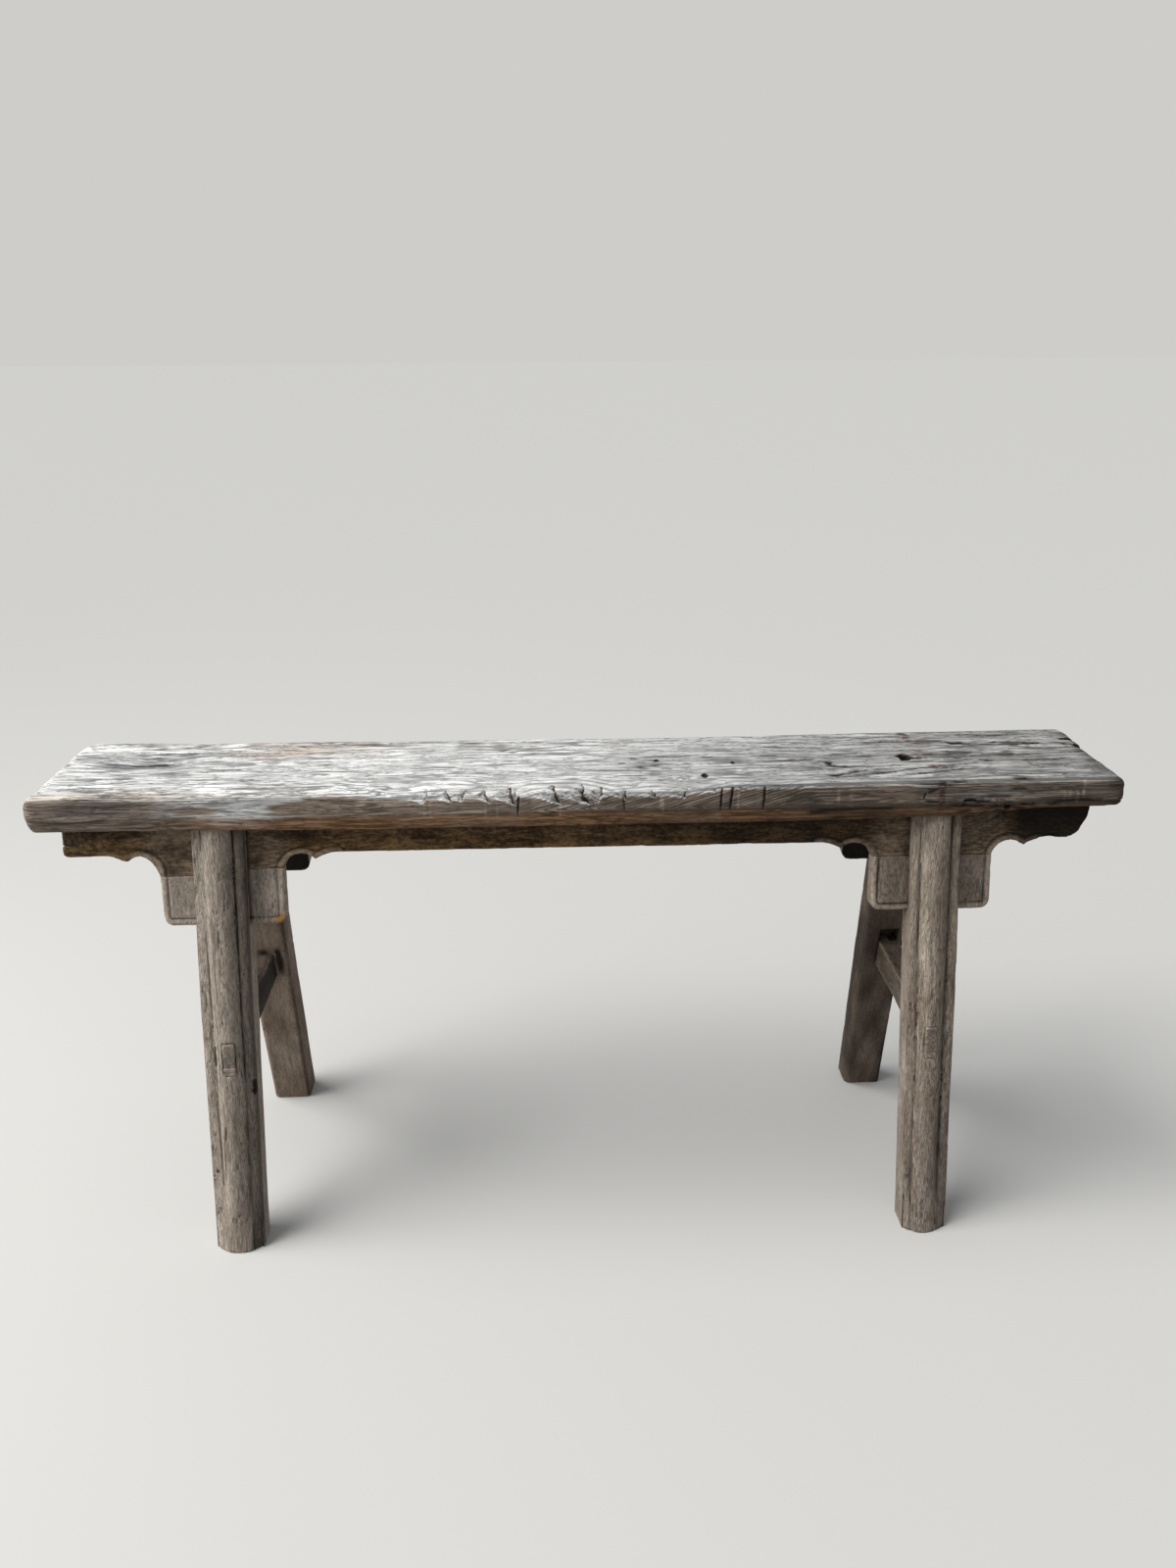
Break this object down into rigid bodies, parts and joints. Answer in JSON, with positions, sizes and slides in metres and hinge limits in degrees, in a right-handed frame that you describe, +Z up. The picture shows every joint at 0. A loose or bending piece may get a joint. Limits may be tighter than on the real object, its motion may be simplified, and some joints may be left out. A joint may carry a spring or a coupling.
{
  "type": "wooden bench",
  "caption": "Narrow weathered wooden bench: thick worn plank seat on splayed moulded legs, shaped aprons with spandrel blocks, and wedged end stretchers.",
  "frame": {"origin": "on the floor, under the middle of the bench", "axes": "+X along the seat to the right, +Y from the front to the back, +Z up"},
  "size_m": [1.12, 0.325, 0.51],
  "materials": {
    "seat_wood": "bare, silvered by weather",
    "apron_wood": "bare, dark with age",
    "spandrel_wood": "bare, pitted and worn",
    "leg_wood": "bare, grey-brown with open grain",
    "stretcher_wood": "bare, dull brown",
    "wedge_wood": "bare end grain"
  },
  "bodies": {
    "root": {"seat_plank": "seat_wood", "front_apron": "apron_wood", "front_left_leg": "leg_wood", "front_left_spandrel": "spandrel_wood", "front_left_wedge": "wedge_wood", "front_right_leg": "leg_wood", "front_right_spandrel": "spandrel_wood", "front_right_wedge": "wedge_wood", "back_apron": "apron_wood", "back_left_leg": "leg_wood", "back_left_spandrel": "spandrel_wood", "back_left_wedge": "wedge_wood", "back_right_leg": "leg_wood", "back_right_spandrel": "spandrel_wood", "back_right_wedge": "wedge_wood", "left_end_board": "apron_wood", "left_stretcher": "stretcher_wood", "right_end_board": "apron_wood", "right_stretcher": "stretcher_wood"}
  },
  "joints": []
}
